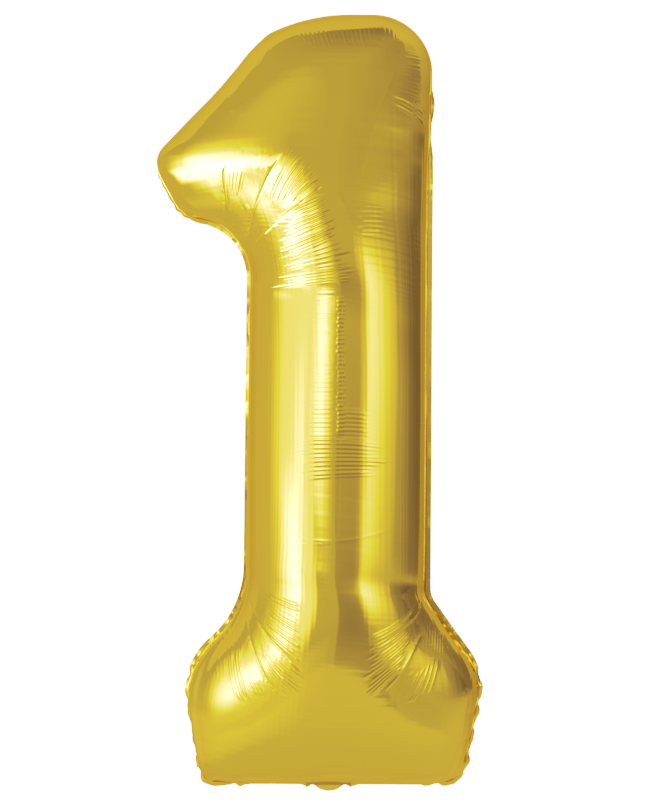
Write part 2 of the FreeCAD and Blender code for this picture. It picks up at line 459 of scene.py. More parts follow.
# Each crease follows its points (x, z) in mm; then come its depth and half width in mm.  A
# negative depth is a ridge.
CREASES = [
    ("nose_root", [(-89, 607), (-86, 629), (-76, 654), (-65, 679), (-49, 701)], 0.90, 1.3),
    ("neck_long", [(-83, 597), (-75, 608), (-65, 617), (-48, 632),
     (-30, 643), (-14, 651), (1, 657)], 0.85, 1.3),
    ("neck_second", [(-34, 642), (-21, 652), (-7, 662)], 0.60, 1.3),
    ("neck_faint", [(-82, 574), (-67, 581), (-57, 587)], 0.15, 1.5),
    ("neck_soft", [(7, 659), (16, 645), (24, 625), (27, 602), (31, 554)], -0.25, 3.5),
    ("nose_line", [(-114, 689), (-115, 670), (-112, 640), (-106, 618)], 0.75, 1.3),
    ("nose_facet", [(-174, 667), (-165, 652), (-157, 637)], 0.35, 3.0),
    ("head_right_soft", [(75, 796), (66, 772), (60, 757),
     (51, 736), (41, 699), (32, 662)], -0.55, 2.6),
    ("head_left_soft", [(-96, 769), (-104, 753), (-109, 743)], -0.45, 2.0),
    ("left_shoulder_long", [(-89, 207), (-83, 190), (-70, 168),
     (-51, 149), (-34, 131), (-28, 126)], 0.80, 1.3),
    ("left_shoulder_side", [(-93, 188), (-90, 172), (-83, 151),
     (-77, 133), (-66, 113), (-51, 99)], 0.80, 1.3),
    ("right_shoulder_long", [(104, 207), (100, 194), (94, 185), (77, 170), (61, 160)], 0.70, 1.3),
    ("right_shoulder_side", [(103, 170), (95, 155), (87, 137), (75, 120), (60, 105)], -0.70, 1.4),
    ("stem_groove", [(14, 540), (14, 471), (14, 391)], 0.22, 1.2),
    ("stem_line", [(12, 396), (12, 360), (11, 316), (10, 271)], 0.16, 1.2),
    ("stem_ring", [(-33, 274), (1, 270), (37, 274), (75, 286)], -0.09, 1.0),
    ("stem_ring_short", [(-35, 268), (-15, 268), (7, 269)], -0.07, 1.0),
    ("left_foot_low", [(-148, 54), (-138, 49), (-130, 44)], 0.20, 1.8),
    ("right_foot_low", [(157, 54), (146, 48), (139, 46)], 0.20, 1.8),
    ("bottom_left_soft", [(-74, 2), (-63, 6), (-43, 12)], 0.25, 2.5),
    ("bottom_right_soft", [(77, 2), (66, 6), (46, 11)], 0.25, 2.5),
]
FRONT_ONLY = ("stem", "head_right", "head_left", "nose_facet")    # starts of names
# Broad puckers where film gathers at an outward curve of the seam: the grid's side, between
# which heights they lie, their pitch, their height and how far in they reach, all in mm.
PUCKERS = [
    ("left", 668, 850, 46.0, 1.3, 34.0),
    ("top", 800, 900, 43.0, 1.5, 36.0),
    ("right", 735, 850, 45.0, 1.3, 32.0),
    ("left", 12, 128, 39.0, 0.9, 26.0),
    ("right", 12, 128, 39.0, 0.9, 26.0),
    ("top", 800, 900, 4.9, 0.10, 22.0),
    ("left", 640, 850, 5.1, 0.07, 22.0),
    ("right", 700, 850, 4.7, 0.12, 24.0),
]
FOLD_SIZES = (0.45, 1.25)        # share of a bundle's height that each of its folds has
FOLD_STARTS = (-0.08, 0.14)      # part of the bundle's length at which each fold fades in
FOLD_MARGIN = 8.0                # mm round a bundle in which its folds may show
FADE = (-0.06, 0.16)             # part of the length, from a fold's own start, over which it fades
LATTICE = (-0.15, 1.15, 27)      # knots over a strip between two curves, each way
NEWTON_STEPS = 4
LARGEST_STEP = 0.1
FLAT_AREA = 1e-6                 # smallest area of the strip's cell that is divided by
FOLD_EDGE = (0.2, 1.2)           # folds, from one outside a bundle, over which its side fades in
CREASE_POINTS = 240
CREASE_REACH = 5                 # half widths from a crease at which it no longer shows
CREASE_ENDS = (0.12, 0.2)        # parts of its length over which a crease fades, first and last
PUCKER_PITCHES = (0.72, 1.28)    # share of the mean pitch that each pucker has
PUCKER_SIZES = (0.4, 1.2)        # share of the height that each pucker has
PUCKER_FROM_SEAM = 5.0           # mm over which a pucker rises from the seam
PUCKER_FADE = 12.0               # mm of height over which a row of puckers fades out
SIDE_ENDS = (2.0, 20.0)          # mm from a side's end where its puckers fade in


def step(values, low, high):
    """Smooth rise from 0 at one value to 1 at another."""
    part = np.clip((values - low) / (high - low), 0, 1)
    return part * part * (3 - 2 * part)


def through(points, part):
    """Curve through a first, middle and last point: the parabola that meets all three."""
    first, middle, last = (np.array(p) for p in points)
    t = part[..., None]
    return first * (1 - t) * (1 - 2 * t) + middle * 4 * t * (1 - t) + last * t * (2 * t - 1)


def through_slope(points, part):
    """Slope of that parabola with respect to its part."""
    first, middle, last = (np.array(p) for p in points)
    t = part[..., None]
    return first * (4 * t - 3) + middle * (4 - 8 * t) + last * (4 * t - 1)


def chart(points, first, last):
    """Where points lie in the strip between two curves: part across it and part along it.

    The nearest knot of a lattice over the strip starts it, and Newton's steps finish it.
    """
    knot = np.linspace(*LATTICE)
    across, along = (values.ravel() for values in np.meshgrid(knot, knot))
    lattice = through(first, along) * (1 - across)[:, None] + through(last, along) * across[:, None]
    found = nearest(points, lattice)
    p, t = across[found], along[found]
    for _ in range(NEWTON_STEPS):
        a, b = through(first, t), through(last, t)
        miss = points - (a * (1 - p)[:, None] + b * p[:, None])
        by_p = b - a
        by_t = (through_slope(first, t) * (1 - p)[:, None] + through_slope(last, t) * p[:, None])
        area = by_p[:, 0] * by_t[:, 1] - by_p[:, 1] * by_t[:, 0]
        area = np.where(np.abs(area) < FLAT_AREA, FLAT_AREA, area)
        move_p = (miss[:, 0] * by_t[:, 1] - miss[:, 1] * by_t[:, 0]) / area
        move_t = (by_p[:, 0] * miss[:, 1] - by_p[:, 1] * miss[:, 0]) / area
        p = p + np.clip(move_p, -LARGEST_STEP, LARGEST_STEP)
        t = t + np.clip(move_t, -LARGEST_STEP, LARGEST_STEP)
    return p, t


def near_box(place, points, margin):
    """Which grid points lie within a margin of a run of points."""
    low, high = np.min(points, 0) - margin, np.max(points, 0) + margin
    return ((place >= low) & (place <= high)).all(-1)


def fold_height(place, seed):
    """Height of all bundles of folds: round backs with sharp valleys, each fold its own size."""
    total = np.zeros(place.shape[:2])
    for number, (_, first, last, count, height) in enumerate(FOLDS):
        chance = np.random.default_rng(100 * seed + number)
        strong = chance.uniform(*FOLD_SIZES, count + 2)
        early, late = chance.uniform(*FOLD_STARTS, (2, count + 2))
        inside = near_box(place, np.concatenate([first, last]), FOLD_MARGIN)
        p, t = chart(place[inside], first, last)
        q = p * count + 1
        fold = np.clip(q.astype(int), 0, count + 1)
        ends = (step(t, early[fold] + FADE[0], early[fold] + FADE[1])
                * step(1 - t, late[fold] + FADE[0], late[fold] + FADE[1]))
        sides = step(q, *FOLD_EDGE) * step(count + 2 - q, *FOLD_EDGE)
        total[inside] += height * strong[fold] * np.abs(np.sin(math.pi * q)) * ends * sides
    return total


def crease_height(place, front):
    """Height of all single creases: a sharp line whose sides flatten out exponentially."""
    total = np.zeros(place.shape[:2])
    for name, points, depth, width in CREASES:
        if not front and name.startswith(FRONT_ONLY):
            continue
        points = np.array(points, float)
        line = spline_weights(np.linspace(0, 1, CREASE_POINTS), len(points)) @ points
        inside = near_box(place, points, CREASE_REACH * width)
        near = place[inside]
        knot = nearest(near, line)
        distance = np.sqrt(((near - line[knot]) ** 2).sum(-1))
        part = knot / (CREASE_POINTS - 1)
        ends = step(part, 0.0, CREASE_ENDS[0]) * step(1 - part, 0.0, CREASE_ENDS[1])
        total[inside] -= depth * np.exp(-distance / width) * ends
    return total


def pucker_height(grid, seed):
    """Height of the puckers, by the distance in from the seam and the distance along it."""
    total = np.zeros(grid.shape[:2])
    turned = {"left": (grid, lambda h: h), "right": (grid[:, ::-1], lambda h: h[:, ::-1]),
              "top": (grid[::-1].transpose(1, 0, 2), lambda h: h.T[::-1])}
    for number, (side, low, high, pitch, height, reach) in enumerate(PUCKERS):
        view, back = turned[side]
        inwards = np.linalg.norm(np.diff(view, axis=1), axis=2)
        inwards = np.concatenate([np.zeros((len(view), 1)), np.cumsum(inwards, 1)], 1)
        along = np.r_[0, np.cumsum(np.linalg.norm(np.diff(view[:, 0], axis=0), axis=1))]
        chance = np.random.default_rng(1000 * seed + number)
        count = int(along[-1] / pitch) + 3
        marks = np.cumsum(chance.uniform(*PUCKER_PITCHES, count)) * pitch
        strong = chance.uniform(*PUCKER_SIZES, count + 1)
        place = np.interp(along, marks, np.arange(count))
        fold = place.astype(int)
        wave = np.abs(np.sin(math.pi * place)) * strong[fold]
        edge_height = view[:, 0, 2]
        window = (step(edge_height, low, low + PUCKER_FADE)
                  * step(-edge_height, -high, PUCKER_FADE - high))
        window = window * step(along, *SIDE_ENDS) * step(along[-1] - along, *SIDE_ENDS)
        depth = (1 - np.exp(-inwards / PUCKER_FROM_SEAM)) * np.exp(-(inwards / reach) ** 2)
        total += back(height * (wave * window)[:, None] * depth)
    return total


def wrinkled(grid, front):
    """The grid with its folds, creases and puckers raised along its own normals."""
    place = grid[..., (0, 2)]
    seed = 1 if front else 2
    height = fold_height(place, seed) + crease_height(place, front) + pucker_height(grid, seed)
    normal = np.cross(np.gradient(grid, axis=0), np.gradient(grid, axis=1))
    normal /= np.linalg.norm(normal, axis=-1)[..., None]
    normal *= -np.sign(normal[len(grid) // 2, grid.shape[1] // 2, 1])
    height[[0, -1]] = 0
    height[:, [0, -1]] = 0
    return grid + normal * height[..., None]


# ------------------------------------------------------------------ rim and tail tab
PLY = 0.2                        # mm from the seam plane to either film of the rim
TAB_DROP = 7.2                   # mm that the tail tab hangs below the bottom edge
TAB_SAVED = 2.0                  # mm of the rim that the film takes up above the tab
TAB_ROUND = 22.0                 # mm, radius of the tab's edge
TAB_FLAT = 26.0                  # mm each side of the tab where the rim stays flat
BEND = 1.0                       # mm, half of the length over which a folded rim turns
TAB_SMOOTHS = 8                  # times that the change from free rim to tab is softened
TAB_BEND = 2.7                   # mm from the seam, past the valve, where the tab starts to turn
TAB_FOLD = 16.0                  # degrees that the tab leans back
SHARP_FROM = 50.0                # degrees between two faces that make their edge a sharp one
RIM_PARTS = (0.0, 0.06, 0.13, 0.21, 0.30, 0.42, 0.56, 0.70, 0.85, 1.0)
# The rim's hang, clockwise from the tab: near (x, z), how far the seam lies in from the cut
# outline in mm, how far the rim is folded back in degrees, and how crumpled it is.
RIM_LEFT = [
    (0, 0, 3.0, 0, 0), (-20, 0, 3.0, 0, 0), (-31, 0, 1.2, 84, 0), (-88, 0, 1.0, 90, 0.1),
    (-98, 0, 2.0, 50, 1), (-108, 0, 2.0, 80, 1), (-124, 0, 2.6, 35, 1), (-141, 4, 3.0, 50, 1),
]
RIM_RIGHT = [
    (151, 4, 3.0, 50, 1), (134, 0, 2.6, 35, 1), (118, 0, 2.0, 80, 1), (106, 0, 2.0, 50, 1),
    (96, 0, 1.0, 90, 0.1), (33, 0, 1.2, 84, 0), (20, 0, 3.0, 0, 0),
]
# Up the feet's sides: heights in mm, and how far the rim is folded back there, in degrees.
LOBES = [(14, 88), (25, 25), (37, 88), (52, 45), (66, 88),
         (80, 40), (92, 88), (108, 18), (125, 75), (141, 8)]
FOOT_SIDES = {-1: (-143, -24), 1: (151, 25)}    # x at the foot's corner, and how far it leans out
FOOT_WIDEST = 132                # mm up at which it has leant that far
LOBE_INSET = 4.2                 # mm that the seam lies in there
RIM_UPPER = [
    (-120, 178, 5.0, 5, 0.8), (-95, 215, 5.0, 0, 0.1), (-93, 400, 5.0, 4, 0.05),
    (-91, 560, 5.0, 0, 0.1), (-97, 610, 5.0, 8, 0.2), (-126, 620, 4.2, 25, 0.6),
    (-150, 627, 2.4, 50, 1), (-176, 642, 4.6, 62, 1), (-192, 664, 5.6, 66, 0.8),
    (-200, 682, 6.6, 88, 0.2), (-195, 715, 2.2, 92, 0), (-160, 745, 2.6, 92, 0),
    (-125, 775, 3.8, 92, 0), (-100, 800, 1.6, 92, 0), (-69, 833, 0.8, 92, 0),
    (0, 853, 0.8, 92, 0), (60, 855, 0.8, 92, 0), (116, 800, 0.9, 92, 0),
    (115.5, 772, 1.6, 85, 0), (115.3, 755, 2.4, 25, 0.25), (115, 735, 2.4, 80, 0),
    (114.8, 716, 2.6, 88, 0), (114.6, 698, 3.4, 45, 0.2), (114.4, 655, 4.4, 16, 0.2),
    (114, 610, 4.8, 6, 0.1), (114, 400, 4.8, 0, 0.0), (113, 235, 5.0, 0, 0.1),
    (140, 172, 5.0, 5, 0.8),
]
HANG_SMOOTHS = 6                 # times that the hang is softened along the outline
CRUMPLE_FOLD, CRUMPLE_LIFT = 12, 0.4      # degrees and mm that a crumpled rim goes either way
CRUMPLE_PITCHES = (14.0, 12.0)            # mm, pitch of its turning and of its lifting
FLAT_FOLD, FLAT_LIFT = 6, 0.22            # the same for a rim that lies flat
FLAT_PITCHES = (96.0, 38.0)
FLAT_UP_TO = 60                  # degrees of fold from which a rim no longer counts as flat
# Waves of an uneven run, each as (pitch, height) in parts of the mean ones.
WAVES = [(1.0, 0.5), (0.73, 0.35), (1.61, 0.4)]


def foot_side(side):
    """The rim's hang up one side of the foot: flat lobes between places where it is folded."""
    edge, lean = FOOT_SIDES[side]
    return [(edge + lean * z / FOOT_WIDEST, z, LOBE_INSET, fold, 0.3 if fold > FLAT_UP_TO else 1)
            for z, fold in LOBES]


def rim_hang(cut):
    """Seam inset, fold and crumple at every point of the cut outline, smoothed along it."""
    stops = RIM_LEFT + foot_side(-1) + RIM_UPPER + foot_side(1)[::-1] + RIM_RIGHT
    stops = np.array(stops, float)
    places = nearest(stops[:, :2], cut)
    start = places[0]
    places = (places - start) % len(cut)
    order = np.argsort(places, kind="stable")
    run = np.arange(len(cut))
    hang = np.stack([np.interp(run, places[order], stops[order, k], period=len(cut))
                     for k in (2, 3, 4)], 1)
    return smooth_loop(np.roll(hang, start, 0), HANG_SMOOTHS)


def rim_width(seam, rim):
    """Width of the rim at each seam point: even, with the tail tab's arc at the bottom."""
    low = np.clip(TAB_ROUND ** 2 - seam[:, 0] ** 2, 0, None)
    tab = np.maximum(TAB_DROP - TAB_ROUND + np.sqrt(low), 0)
    at_tab = (seam[:, 1] < 2 * rim) & (np.abs(seam[:, 0]) < TAB_ROUND)
    return smooth_loop(rim + np.where(at_tab, tab - TAB_SAVED, 0), 2)


def uneven(run, pitch, seed):
    """Wave of uneven pitch about a mean one, between about -1 and 1, by distance along the rim."""
    chance = np.random.default_rng(seed)
    return sum(np.sin(2 * math.pi * (run / (pitch * stretch) + chance.uniform())) * height
               for stretch, height in WAVES)


def rim_strip(edge, settings, front):
    """Rows of points from the seam out to the cut edge.

    The rim's middle surface leaves the seam flat and turns back by its fold angle over the
    first few parts of its width.  Each film lies a ply's thickness to its own side, and both
    end together on the middle surface's edge.
    """
    seam = edge[:, (0, 2)]
    cut, _ = rounded(OUTLINE)
    _, fold, crumple = rim_hang(cut)[nearest(seam, cut)].T
    out = outward(seam)
    run = np.r_[0, np.cumsum(np.linalg.norm(np.diff(seam, axis=0), axis=1))]
    by_tab = (seam[:, 1] < 3 * settings.rim) & (np.abs(seam[:, 0]) < TAB_FLAT)
    free = smooth_loop(np.where(by_tab, 0.0, 1.0), TAB_SMOOTHS)
    flatness = np.clip(1 - fold / FLAT_UP_TO, 0, 1)
    fold = fold + free * (crumple * CRUMPLE_FOLD * uneven(run, CRUMPLE_PITCHES[0], 5)
                          + flatness * FLAT_FOLD * uneven(run, FLAT_PITCHES[0], 6))
    lift_off = free * (crumple * CRUMPLE_LIFT * uneven(run, CRUMPLE_PITCHES[1], 7)
                       + FLAT_LIFT * flatness * uneven(run, FLAT_PITCHES[1], 8))
    width = rim_width(seam, settings.rim)
    side = -1 if front else 1
    middle = np.stack([seam[:, 0], np.zeros(len(seam)), seam[:, 1]], 1)
    out = np.stack([out[:, 0], np.zeros(len(seam)), out[:, 1]], 1)
    back = np.array([0.0, 1.0, 0.0])
    start = np.where(by_tab, TAB_BEND, -BEND * np.clip(fold / 90, 0, 1))
    fold = np.where(by_tab, TAB_FOLD, fold)
    rows = []
    for before, part in zip(RIM_PARTS[:-1], RIM_PARTS[1:]):
        reach = width * (part + before) / 2
        turn = np.radians(fold) * step(reach, start, start + 2 * BEND)
        ahead = out * np.cos(turn)[:, None] + back * np.sin(turn)[:, None]
        level = back * np.cos(turn)[:, None] - out * np.sin(turn)[:, None]
        middle = middle + ahead * (width * (part - before))[:, None]
        raised = level * (lift_off * part * part)[:, None]
        rows.append(middle + raised + side * PLY * level)
    rows.append(middle + raised)
    return np.stack(rows)


def placed(name, data):
    """New object in the scene that holds the given mesh, camera or lamp."""
    obj = bpy.data.objects.new(name, data)
    bpy.context.collection.objects.link(obj)
    return obj


def film_mesh(name, grid, strip, front):
    """One film panel: the grid's faces, then a closed band of faces for each row of the rim."""
    up, across = grid.shape[:2]
    number = np.arange(up * across).reshape(up, across)
    faces = [np.stack([number[:-1, :-1], number[:-1, 1:], number[1:, 1:], number[1:, :-1]],
                      -1).reshape(-1, 4)]
    inner = loop_of(number[..., None])[:, 0]
    rows = np.concatenate([inner[None], up * across
                           + np.arange(strip.shape[0] * strip.shape[1]).reshape(strip.shape[:2])])
    ahead = np.roll(rows, -1, 1)
    faces.append(np.stack([rows[:-1], rows[1:], ahead[1:], ahead[:-1]], -1).reshape(-1, 4))
    faces = np.concatenate(faces)
    if not front:
        grid = grid * (1, -1, 1)
        faces = faces[:, ::-1]
    points = np.concatenate([grid.reshape(-1, 3), strip.reshape(-1, 3)]) * MM
    mesh = bpy.data.meshes.new(name)
    mesh.vertices.add(len(points))
    mesh.vertices.foreach_set("co", points.ravel())
    mesh.loops.add(faces.size)
    mesh.loops.foreach_set("vertex_index", faces.ravel())
    mesh.polygons.add(len(faces))
    mesh.polygons.foreach_set("loop_start", np.arange(0, faces.size, 4))
    mesh.update(calc_edges=True)
    mesh.shade_smooth()
    mesh.set_sharp_from_angle(angle=math.radians(SHARP_FROM))
    return placed(name, mesh)


# ------------------------------------------------------------------ materials
def colour(code):
    """Linear colour of an sRGB hex code, with alpha."""
    parts = [int(code[k:k + 2], 16) / 255 for k in (1, 3, 5)]
    return [c / 12.92 if c <= 0.04045 else ((c + 0.055) / 1.055) ** 2.4 for c in parts] + [1.0]


def add(tree, kind, settings=None, **links):
    """Adds a node, sets its properties or inputs, and links its inputs to given outputs."""
    node = tree.nodes.new(kind)
    for key, value in (settings or {}).items():
        if hasattr(node, key):
            setattr(node, key, value)
        else:
            node.inputs[key].default_value = value
    for key, source in links.items():
        tree.links.new(source, node.inputs[int(key[1:]) if key[1:].isdigit() else key])
    return node


def new_material(name):
    """Empty node material, and its node tree."""
    material = bpy.data.materials.new(name)
    material.use_nodes = True
    material.node_tree.nodes.clear()
    return material, material.node_tree


EDGE_TINT = "#ecd38a"            # the mirror's tint where it is seen at a slant


def gold_film(settings):
    """Vacuum-metallised polyester film, tinted gold.

    The eye sees almost no surface, only a yellow mirror of the room.  Rolling and stretching
    leave the film slightly uneven, so the mirror is a little blurred and light boxes get soft
    edges.
    """
    material, tree = new_material("gold_metallised_polyester_film")
    shader = add(tree, "ShaderNodeBsdfPrincipled", {
        "Base Color": colour(settings.gold), "Metallic": 1.0, "Roughness": settings.blur,
        "Specular Tint": colour(EDGE_TINT)})
    out = add(tree, "ShaderNodeOutputMaterial")
    tree.links.new(shader.outputs[0], out.inputs["Surface"])
    return material


STREAKS_PER_METRE = 120.0        # the valve film's, about 8 mm apart
STIPPLES_PER_METRE = 400.0       # the floor paint's, about 2.5 mm apart
POLYETHYLENE_IOR = 1.51


def valve_film():
    """Clear extruded polyethylene film: thin, waxy and slightly milky.

    The die leaves broad faint streaks in its shine, about 8 mm apart.
    """
    material, tree = new_material("clear_polyethylene_film")
    place = add(tree, "ShaderNodeTexCoord")
    streaks = add(tree, "ShaderNodeTexNoise", {"Scale": STREAKS_PER_METRE, "Detail": 2.0},
                  Vector=place.outputs["Object"])
    haze = add(tree, "ShaderNodeMapRange", {"To Min": 0.26, "To Max": 0.4},
               _0=streaks.outputs["Fac"])
    shader = add(tree, "ShaderNodeBsdfPrincipled",
                 {"Base Color": colour("#e8ecef"), "IOR": POLYETHYLENE_IOR, "Alpha": 0.55},
                 Roughness=haze.outputs[0])
    add(tree, "ShaderNodeOutputMaterial", Surface=shader.outputs[0])
    return material


# ------------------------------------------------------------------ settings
class BalloonFilm(bpy.types.PropertyGroup):
    """Sizes and finish of the two film panels."""
    rim: FloatProperty(name="Rim", description="Width of the welded rim, in millimetres",
                       default=RIM, min=2.0, max=12.0)
    across: IntProperty(name="Points across", description="Mesh points across a panel",
                        default=385, min=33, max=641)
    up: IntProperty(name="Points up", description="Mesh points up a panel",
                    default=1153, min=97, max=1921)
    gold: StringProperty(name="Gold", description="Tint of the metallised film, as sRGB hex",
                         default="#f1cc69")
    blur: FloatProperty(name="Blur", description="Roughness of the film's mirror surface",
                        default=0.08, min=0.0, max=1.0)


class BalloonStudio(bpy.types.PropertyGroup):
    """Floor, light and camera."""
    floor_drop: FloatProperty(name="Floor", description="How far the floor lies below the balloon",
                              default=0.3, subtype="DISTANCE")
    distance: FloatProperty(name="Camera distance", description="From the camera to the balloon",
                            default=12.0, subtype="DISTANCE")


# ------------------------------------------------------------------ operators
BACK_SHARE = 0.7                 # fineness of the back panel's grid beside the front one's


class BALLOON_OT_film_panels(bpy.types.Operator):
    """Swells the film and makes the front and back panels"""
    bl_idname = "balloon.film_panels"
    bl_label = "Film panels"

    def execute(self, context):
        settings = context.scene.balloon_film
        swollen = swollen_film(settings)
        gold = gold_film(settings)
        for name, node, front, share in (("front_film", "front_foil_panel", True, 1.0),
                                         ("back_film", "back_foil_panel", False, BACK_SHARE)):
            across, up = int(settings.across * share), int(settings.up * share)
            grid = wrinkled(panel_grid(swollen, across, up, settings.rim), front)
            grid[[0, -1], :, 1] = -PLY
            grid[:, [0, -1], 1] = -PLY
            film = film_mesh(name, grid, rim_strip(loop_of(grid), settings, front), front)
            film.data.materials.append(gold)
            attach(film, ROOT)
            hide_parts(node)
        return {"FINISHED"}


class BALLOON_OT_valve(bpy.types.Operator):
    """Gives the two valve films their clear plastic"""
    bl_idname = "balloon.valve"
    bl_label = "Valve"

    def execute(self, context):
        clear = valve_film()
        for node in ("valve_front_film", "valve_back_film"):
            for slot in bpy.data.objects[node].material_slots:
                slot.material = clear
        return {"FINISHED"}


VIEW_HEIGHT = 0.8947             # m of the balloon's own plane that the camera takes in
VIEW_MIDDLE = (-0.0042, 0.4235)  # x and z of the middle of that, in m
SENSOR = 36.0                    # mm, the sensor's long side
CLIP_END = 100.0                 # m, how far the camera sees
FLOOR_RADIUS = 6.0               # m
FLOOR_SIDES = 96
FLOOR_LAMP_WATTS = 900.0
FLOOR_LAMP_SIZE, FLOOR_LAMP_HEIGHT = 4.0, 5.0     # m
PLAIN_WHITE = 5.3                # strength of the plain white that the camera sees


class BALLOON_OT_studio(bpy.types.Operator):
    """Makes the floor, the light and the camera"""
    bl_idname = "balloon.studio"
    bl_label = "Studio"

    def execute(self, context):
        settings = context.scene.balloon_studio
        scene = context.scene
        camera = placed("camera", bpy.data.cameras.new("camera"))
        camera.data.sensor_width = SENSOR
        camera.data.lens = SENSOR * settings.distance / VIEW_HEIGHT
        camera.location = (VIEW_MIDDLE[0], -settings.distance, VIEW_MIDDLE[1])
        camera.rotation_euler = (math.pi / 2, 0, 0)
        camera.data.clip_end = CLIP_END
        scene.camera = camera
        make_floor(settings)
        make_world(scene)
        make_lights()
        set_tone(scene)
        return {"FINISHED"}


def make_floor(settings):
    """Round pale floor below the balloon: one flat face, its corners evenly round a circle."""
    angle = np.linspace(0, 2 * math.pi, FLOOR_SIDES + 1)[:-1]
    points = np.stack([FLOOR_RADIUS * np.cos(angle), FLOOR_RADIUS * np.sin(angle),
                       np.full(FLOOR_SIDES, -settings.floor_drop)], 1)
    mesh = bpy.data.meshes.new("floor")
    mesh.from_pydata(points.tolist(), [], [list(range(FLOOR_SIDES))])
    floor = placed("floor", mesh)
    mesh.materials.append(painted_floor())
    floor.visible_glossy = False


def painted_floor():
    """Matt white floor paint, rolled on: the roller leaves a faint even stipple."""
    material, tree = new_material("matt_white_rolled_floor_paint")
    place = add(tree, "ShaderNodeTexCoord")
    stipple = add(tree, "ShaderNodeTexNoise", {"Scale": STIPPLES_PER_METRE, "Detail": 3.0},
                  Vector=place.outputs["Object"])
    bump = add(tree, "ShaderNodeBump", {"Strength": 0.1, "Distance": 0.0005},
               Height=stipple.outputs["Fac"])
    shader = add(tree, "ShaderNodeBsdfPrincipled",
                 {"Base Color": colour("#f4f3f0"), "Roughness": 0.75},
                 Normal=bump.outputs["Normal"])
    add(tree, "ShaderNodeOutputMaterial", Surface=shader.outputs[0])
    return material


def ramp(tree, stops, source, top=1.0, blend="LINEAR"):
    """Colour ramp of grey levels over a number from 0 to 1; levels are parts of the given top."""
    node = add(tree, "ShaderNodeValToRGB", _0=source)
    node.color_ramp.interpolation = blend
    for _ in range(len(stops) - 2):
        node.color_ramp.elements.new(0.5)
    for element, (place, level) in zip(node.color_ramp.elements, stops):
        element.position = place
        element.color = (level / top, level / top, level / top, 1)
    return node.outputs[0]


def sum_up(tree, operation, first, second):
    """One maths node's result, from outputs or plain numbers."""
    node = add(tree, "ShaderNodeMath", {"operation": operation})
    for socket, value in zip(node.inputs, (first, second)):
        if isinstance(value, (int, float)):
            socket.default_value = value
        else:
            tree.links.new(value, socket)
    return node.outputs[0]


def blend_levels(tree, part, low, high):
    """Grey level between two, by a part from 0 to 1."""
    return sum_up(tree, "ADD", sum_up(tree, "MULTIPLY", low, sum_up(tree, "SUBTRACT", 1.0, part)),
                  sum_up(tree, "MULTIPLY", high, part))


def rise(tree, value, low, high):
    """Smooth rise from 0 at one value to 1 at another."""
    return add(tree, "ShaderNodeMapRange", {"interpolation_type": "SMOOTHSTEP", "From Min": low,
                                            "From Max": high}, _0=value).outputs[0]


# Brightness of the studio's walls, by where the direction points.  AHEAD runs with the
# direction's height, from straight down to straight up.  SIDES and BACKDROP run round the
# view's axis: from left through down, right and up to left again.
WALL_TOP = 2.0
AHEAD = [(0.0, 0.80), (0.1, 0.84), (0.2, 0.90), (0.3, 0.95), (0.312, 0.93), (0.332, 0.74),
         (0.44, 0.70), (0.52, 0.75), (0.62, 0.72), (1.0, 0.70)]
SIDES = [(0.0, 0.86), (0.25, 0.82), (0.46, 0.86), (0.48, 0.80), (0.495, 0.74), (0.505, 0.55),
         (0.52, 0.45), (0.545, 0.48), (0.57, 0.66), (0.61, 0.62), (0.66, 0.46), (0.70, 0.32),
         (0.73, 0.35), (0.77, 0.48), (0.81, 0.62), (0.87, 0.72), (0.94, 0.72), (1.0, 0.86)]
BACKDROP = [(0.0, 0.875), (0.25, 0.95), (0.44, 0.90), (0.48, 0.70), (0.5, 0.62), (0.53, 0.72),
            (0.62, 0.90), (0.72, 0.92), (0.80, 0.98), (0.9, 1.05), (1.0, 0.875)]
# Where the backdrop begins, round the view's axis, as a part of a half turn from the camera's side.
BACKDROP_EDGE = [(0.0, 0.711), (0.25, 0.72), (0.47, 0.65), (0.5, 0.695), (0.515, 0.65),
                 (0.54, 0.60), (0.594, 0.50), (0.64, 0.53), (0.68, 0.59), (0.74, 0.57),
                 (0.77, 0.563), (0.81, 0.62), (0.87, 0.61), (0.90, 0.605), (0.93, 0.64),
                 (1.0, 0.711)]
SIDES_FROM, SIDES_TO = 0.25, 0.56     # where the walls ahead give way to the sides, likewise
EDGE_BLUR = 0.008                # half of the width over which the backdrop begins


